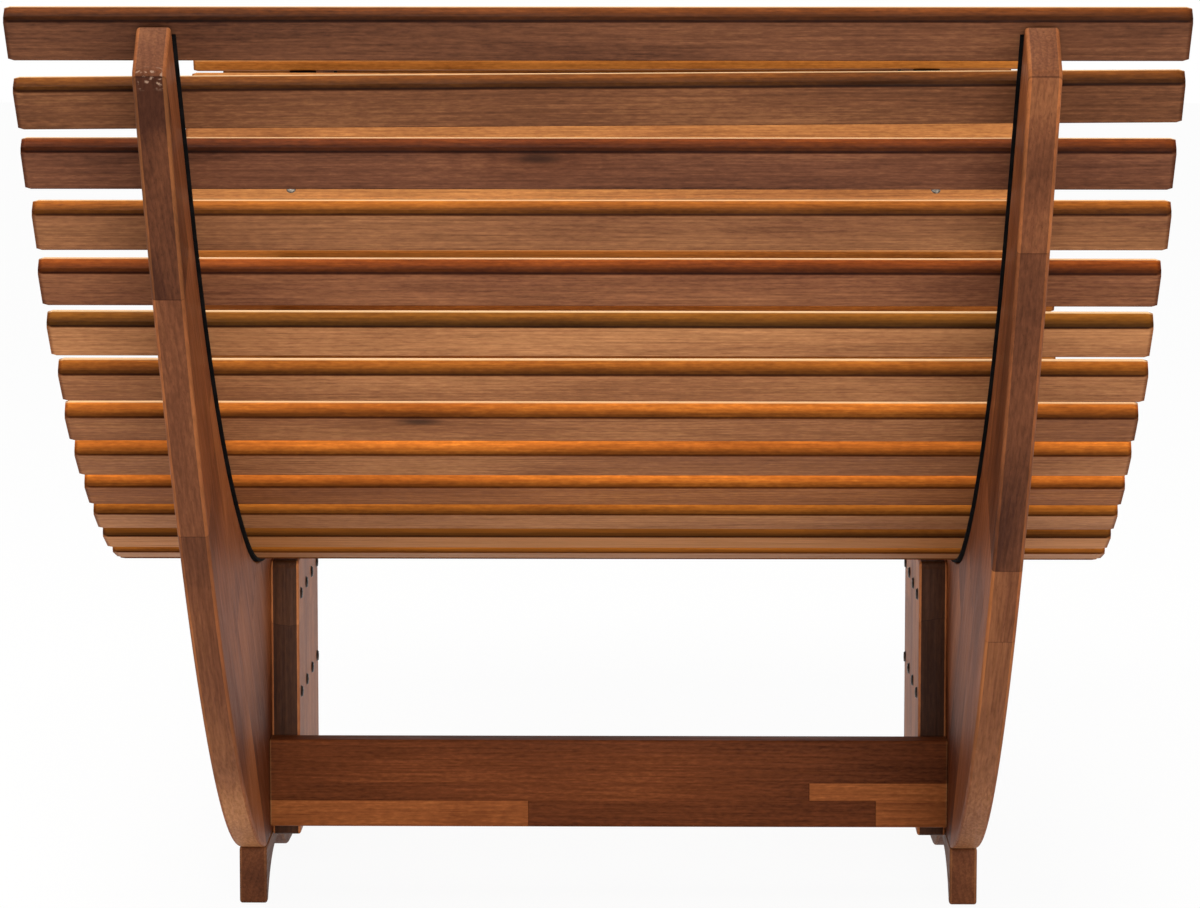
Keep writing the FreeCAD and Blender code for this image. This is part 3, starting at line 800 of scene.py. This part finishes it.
def outlineOf(nodeName):
    # the largest edge loop of the board's +X face, as (Y, Z) points
    shape = weldedCopy(nodeName)
    top = max(vertex.co.x for vertex in shape.verts)
    face = {item for item in shape.faces
            if item.normal.x > 0.99 and abs(item.calc_center_median().x - top) < rounding["weld"]}
    rim = [edge for edge in shape.edges if len([item for item in edge.link_faces if item in face]) == 1]
    follow = {}
    for edge in rim:
        for vertex in edge.verts:
            follow.setdefault(vertex, []).append(edge.other_vert(vertex))
    loops = []
    while follow:
        start = next(iter(follow))
        loop, here, last = [start], start, None
        while True:
            ahead = [vertex for vertex in follow[here] if vertex is not last]
            last, here = here, ahead[0]
            if here is start:
                break
            loop.append(here)
        for vertex in loop:
            follow.pop(vertex)
        loops.append([(vertex.co.y, vertex.co.z) for vertex in loop])
    shape.free()
    return max(loops, key=lambda loop: abs(loopArea(loop)))


def tidyLoop(loop, radius):
    # counter-clockwise, no doubled points, and sharp corners rounded to the radius
    if loopArea(loop) < 0:
        loop = loop[::-1]
    points = [Vector(point) for point in loop]
    clean = [point for index, point in enumerate(points)
             if (point - points[index - 1]).length > rounding["shortest"]]
    made = []
    for index, point in enumerate(clean):
        back, ahead = clean[index - 1] - point, clean[(index + 1) % len(clean)] - point
        turn = math.pi - back.angle(ahead)
        if turn < math.radians(rounding["sharp"]) or radius <= 0:
            made.append(point)
            continue
        room = min(back.length, ahead.length) * rounding["room"]
        reach = min(radius * math.tan(turn / 2), room)
        first, last = point + back.normalized() * reach, point + ahead.normalized() * reach
        for step in range(rounding["cornerSteps"] + 1):
            part = step / rounding["cornerSteps"]
            made.append(first * (1 - part) ** 2 + point * 2 * part * (1 - part) + last * part ** 2)
    return made


def inwardPush(loop):
    # at each point of the loop, the way in that keeps both its sides parallel
    pushes = []
    for index, point in enumerate(loop):
        before = (point - loop[index - 1]).normalized()
        after = (loop[(index + 1) % len(loop)] - point).normalized()
        sideBefore, sideAfter = Vector((-before.y, before.x)), Vector((-after.y, after.x))
        pushes.append((sideBefore + sideAfter) / max(rounding["tightest"], 1 + sideBefore.dot(sideAfter)))
    return pushes


def roundedBoard(name, loop, low, high, ease, grainTurn=0.0):
    # a board between two X planes whose long arrises are rounded over
    count = len(loop)
    angles = [step / rounding["easeSteps"] * math.pi / 2 for step in range(rounding["easeSteps"] + 1)]
    curve = [(ease * math.sin(angle), ease - ease * math.cos(angle)) for angle in angles]
    sections = [(low + ease - out, inset) for out, inset in reversed(curve)]
    sections += [(high - ease + out, inset) for out, inset in curve]
    pushes = inwardPush(loop)
    points = [(x, *(point + push * inset)) for x, inset in sections for point, push in zip(loop, pushes)]
    faces, arrises, rims = [], [], []
    for ring in range(len(sections) - 1):
        flat = ring == rounding["easeSteps"]
        for index in range(count):
            ahead = (index + 1) % count
            faces.append((ring * count + index, ring * count + ahead,
                          (ring + 1) * count + ahead, (ring + 1) * count + index))
            arrises.append(0.0 if flat else 1.0)
            rims.append(1.0 if flat else 0.0)
    faces.append(tuple(range(count))[::-1])
    faces.append(tuple(range((len(sections) - 1) * count, len(sections) * count)))
    arrises += [0.0, 0.0]
    rims += [0.0, 0.0]
    mesh = bpy.data.meshes.new(name)
    mesh.from_pydata(points, [], faces)
    mesh.update()
    smoothByAngle(mesh, rounding["smooth"])
    for polygon in mesh.polygons[-2:]:
        polygon.use_smooth = False
    along = Vector((0, math.cos(grainTurn), math.sin(grainTurn)))
    across = Vector((0, -math.sin(grainTurn), math.cos(grainTurn)))
    setAttribute(mesh, "grain", [(along.dot(Vector(p)), across.dot(Vector(p)), p[0]) for p in points])
    setAttribute(mesh, "arris", arrises, "FACE")
    setAttribute(mesh, "rim", rims, "FACE")
    shape = bmesh.new()
    shape.from_mesh(mesh)
    bmesh.ops.recalc_face_normals(shape, faces=shape.faces)
    shape.to_mesh(mesh)
    shape.free()
    return mesh


def buildBoards():
    for kind, look in boards.items():
        for side, finish in zip(("left", "right"), look["finish"]):
            nodeName = f"{kind}_{side}"
            low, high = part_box(nodeName)
            loop = tidyLoop(outlineOf(nodeName), look["corner"])
            turn = math.radians(look["turn"])
            mesh = roundedBoard(nodeName + "_board", loop, low.x, high.x, look["ease"], turn)
            linkPiece(nodeName + "_board", mesh, finish, [nodeName])


buildBoards()
print("boards:", 2 * len(boards))

# crossbars, each glued up from three rows of staves
bars = {"nodes": ("rear_stretcher", "front_stretcher"), "ease": 0.0012, "corner": 0.003}


def buildBars():
    for nodeName in bars["nodes"]:
        low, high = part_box(nodeName)
        corners = [(low.y, low.z), (high.y, low.z), (high.y, high.z), (low.y, high.z)]
        mesh = roundedBoard(nodeName + "_bar", tidyLoop(corners, bars["corner"]), low.x, high.x, bars["ease"])
        grain = np.array([(v.co.x, v.co.z - low.z, v.co.y - low.y) for v in mesh.vertices])
        mesh.attributes["grain"].data.foreach_set("vector", grain.ravel())
        linkPiece(nodeName + "_bar", mesh, barWood, [nodeName])


buildBars()
print("bars:", len(bars["nodes"]))

# screws: dark low heads with a round socket, on their shanks
plateScrews = {"headRadius": 0.0045, "headHeight": 0.0015, "shankRadius": 0.003, "recess": 0.0009}
slatScrews = {"headRadius": 0.0040, "headHeight": 0.0009, "shankRadius": 0.002, "shankLength": 0.024,
              "recess": 0.0006, "railPlace": 0.260, "offset": -0.008, "sink": 0.0002}
screwShape = {"headSides": 20, "shankSides": 8, "upperFrom": 0.75, "topScale": 0.78, "socketScale": 0.55,
              "spinSeed": 5, "smooth": 35}


def cylinder(tree, sides, radius, depth, rise):
    # a cylinder moved along its axis by a share of its depth
    rod = put(tree, "GeometryNodeMeshCylinder", {"Vertices": sides, "Radius": radius, "Depth": depth})
    lift = combined(tree, z=times(tree, depth, rise))
    moved = put(tree, "GeometryNodeTransform", {"Geometry": rod.outputs["Mesh"], "Translation": lift})
    return moved.outputs["Geometry"]


def screwTree():
    sizes = ["Head Radius", "Head Height", "Shank Radius", "Shank Length", "Recess", "Finish"]
    tree, given, result = newTree("screwSet", sizes)
    head = cylinder(tree, screwShape["headSides"], given["Head Radius"], given["Head Height"], 0.5)
    # draw the upper rim in, then sink a round socket into the top
    height = axes(tree, put(tree, "GeometryNodeInputPosition").outputs[0])[2]
    upperFrom = times(tree, given["Head Height"], screwShape["upperFrom"])
    upper = put(tree, "FunctionNodeCompare", {"A": height, "B": upperFrom}, data_type="FLOAT",
                operation="GREATER_THAN").outputs["Result"]
    dome = put(tree, "GeometryNodeScaleElements", {
        "Geometry": head, "Selection": upper, "Scale": screwShape["topScale"]}, domain="FACE")
    lid = put(tree, "GeometryNodeExtrudeMesh", {
        "Mesh": dome.outputs["Geometry"], "Selection": upper, "Offset Scale": 0.0}, mode="FACES")
    inner = put(tree, "GeometryNodeScaleElements", {
        "Geometry": lid.outputs["Mesh"], "Selection": lid.outputs["Top"], "Scale": screwShape["socketScale"]},
        domain="FACE")
    socket = put(tree, "GeometryNodeExtrudeMesh", {
        "Mesh": inner.outputs["Geometry"], "Selection": lid.outputs["Top"],
        "Offset Scale": times(tree, given["Recess"], -1.0)}, mode="FACES")
    shank = cylinder(tree, screwShape["shankSides"], given["Shank Radius"], given["Shank Length"], -0.5)
    whole = put(tree, "GeometryNodeJoinGeometry")
    feed(tree, whole.inputs[0], socket.outputs["Mesh"])
    feed(tree, whole.inputs[0], shank)
    aim = named(tree, "aim", "FLOAT_VECTOR")
    aimed = put(tree, "FunctionNodeAlignRotationToVector", {"Vector": aim}, axis="Z").outputs[0]
    rotation = turned(tree, aimed, combined(tree, z=named(tree, "spin")))
    setOut(tree, given, result, whole.outputs[0], rotation)
    return tree


def islands(nodeName):
    # bounding boxes of the separate solids in a CAD node
    shape = weldedCopy(nodeName)
    left = set(shape.verts)
    found = []
    while left:
        group, waiting = set(), [left.pop()]
        while waiting:
            vertex = waiting.pop()
            group.add(vertex)
            for edge in vertex.link_edges:
                other = edge.other_vert(vertex)
                if other in left:
                    left.remove(other)
                    waiting.append(other)
        spots = np.array([vertex.co for vertex in group])
        found.append((spots.min(0), spots.max(0)))
    shape.free()
    return found


screws = screwTree()


def buildScrews(name, spots, aims, sizes, shank, finish, replaced):
    dice = random.Random(screwShape["spinSeed"])
    spins = [dice.uniform(0, math.pi) for _ in spots]
    mesh = grow(carrier(name + "Carrier", spots, {"aim": aims, "spin": spins}), screws, {
        "Head Radius": sizes["headRadius"], "Head Height": sizes["headHeight"], "Recess": sizes["recess"],
        "Shank Radius": sizes["shankRadius"], "Shank Length": shank, "Finish": finish})
    mesh.name = name
    smoothByAngle(mesh, screwShape["smooth"])
    linkPiece(name, mesh, None, replaced)
    return len(spots)


def buildFrameScrews():
    # plate screws have their heads on the inner side, crossbar screws on the outer side
    made = 0
    for nodeName in ("plate_screws_left", "plate_screws_right", "crossbar_screws"):
        headInside = nodeName != "crossbar_screws"
        headHeight = plateScrews["headHeight"]
        spots, aims, shank = [], [], 0.0
        for low, high in islands(nodeName):
            towardPlus = (low[0] + high[0] < 0) == headInside
            face = high[0] - headHeight if towardPlus else low[0] + headHeight
            spots.append((face, (low[1] + high[1]) / 2, (low[2] + high[2]) / 2))
            aims.append((1.0 if towardPlus else -1.0, 0.0, 0.0))
            shank = high[0] - low[0] - headHeight
        made += buildScrews(nodeName + "_heads", spots, aims, plateScrews, shank, screwSteel, [nodeName])
    return made


def buildSlatScrews():
    # one on each rail, a little to the head side of the slat's middle
    spots, aims = [], []
    lift = slats["thick"] / 2 - slatScrews["sink"]
    for _, middle, lean in slatSpots:
        out = Vector((0, -math.sin(lean), math.cos(lean)))
        for side in (-1, 1):
            face = Vector((side * slatScrews["railPlace"], middle[0], middle[1])) + out * lift
            face += Vector((0, out.z, -out.y)) * slatScrews["offset"]
            spots.append(tuple(face))
            aims.append(tuple(out))
    return buildScrews("slat_screws", spots, aims, slatScrews, slatScrews["shankLength"], slatScrewSteel, [])


print("screws:", buildFrameScrews() + buildSlatScrews())

# pieces whose CAD shape is right keep it and take a finish
cadFinishes = {"slat_band": bandRubber, "side_dowels": dowelWood}
for nodeName, item in cadNodes.items():
    for start, finish in cadFinishes.items():
        if nodeName.startswith(start):
            item.data.materials.clear()
            item.data.materials.append(finish)
print("bands and dowels finished")

# camera fitted to the photo's edges: long lens, a little above the head end
view = {"lens": 142.2, "sensor": 36.0, "spot": (0.0344, -3.5723, 0.7510), "tilt": 83.0, "yaw": 0.676}
cameraData = bpy.data.cameras.new("camera")
cameraData.lens = view["lens"]
cameraData.sensor_width = view["sensor"]
cameraData.sensor_fit = "HORIZONTAL"
camera = bpy.data.objects.new("camera", cameraData)
camera.location = view["spot"]
camera.rotation_euler = (math.radians(view["tilt"]), 0.0, math.radians(view["yaw"]))
scene.collection.objects.link(camera)
scene.camera = camera

# studio: a pale floor, white to the camera, and soft light from above and from behind the camera
studio = {
    "floorTone": (0.90, 0.90, 0.90, 1),
    "floorReach": 12.0,
    "floorGlow": 0.94,
    "worldTone": (1.0, 0.99, 0.98, 1),
    "worldLevel": 0.62,
    "white": (1, 1, 1, 1),
    "lamps": [
        {"name": "overhead", "spot": (-0.5, -0.2, 3.2), "aim": (0, 0.1, 0.3), "size": 2.6, "power": 70.0,
         "tone": (1.0, 0.97, 0.92)},
        {"name": "behindCamera", "spot": (0.7, -4.2, 0.6), "aim": (0, 0, 0.35), "size": 2.6, "power": 120.0,
         "tone": (1.0, 0.98, 0.95)},
    ],
}


def seenDirectly(tree):
    # 1 for what the camera sees, also in a reflection or through glass
    paths = put(tree, "ShaderNodeLightPath").outputs
    seen = most(tree, paths["Is Camera Ray"], paths["Is Glossy Ray"])
    return most(tree, seen, paths["Is Transmission Ray"])


def mixShaders(tree, output, factor, first, second):
    mixer = put(tree, "ShaderNodeMixShader", {0: factor, 1: first.outputs[0], 2: second.outputs[0]})
    tree.links.new(mixer.outputs[0], output.inputs["Surface"])


def buildFloor():
    reach = studio["floorReach"]
    corners = [(-reach, -reach, 0), (reach, -reach, 0), (reach, reach, 0), (-reach, reach, 0)]
    mesh = bpy.data.meshes.new("floor")
    mesh.from_pydata(corners, [], [(0, 1, 2, 3)])
    floor = bpy.data.objects.new("floor", mesh)
    scene.collection.objects.link(floor)
    material, tree, output = newMaterial("floorWhite")
    matt = put(tree, "ShaderNodeBsdfDiffuse", {"Color": studio["floorTone"]})
    glow = put(tree, "ShaderNodeEmission", {"Color": studio["white"], "Strength": 1.0})
    mixShaders(tree, output, times(tree, seenDirectly(tree), studio["floorGlow"]), matt, glow)
    mesh.materials.append(material)


def buildWorld():
    world = bpy.data.worlds.new("studioWorld")
    scene.world = world
    world.use_nodes = True
    tree = world.node_tree
    tree.nodes.clear()
    soft = put(tree, "ShaderNodeBackground", {"Color": studio["worldTone"], "Strength": studio["worldLevel"]})
    white = put(tree, "ShaderNodeBackground", {"Color": studio["white"], "Strength": 1.0})
    mixShaders(tree, put(tree, "ShaderNodeOutputWorld"), seenDirectly(tree), soft, white)


def buildLamps():
    for lamp in studio["lamps"]:
        data = bpy.data.lights.new(lamp["name"], "AREA")
        data.shape = "DISK"
        data.size = lamp["size"]
        data.energy = lamp["power"]
        data.color = lamp["tone"]
        item = bpy.data.objects.new(lamp["name"], data)
        item.location = lamp["spot"]
        ray = Vector(lamp["aim"]) - Vector(lamp["spot"])
        item.rotation_euler = ray.to_track_quat("-Z", "Y").to_euler()
        scene.collection.objects.link(item)


buildFloor()
buildWorld()
buildLamps()
print("studio ready")
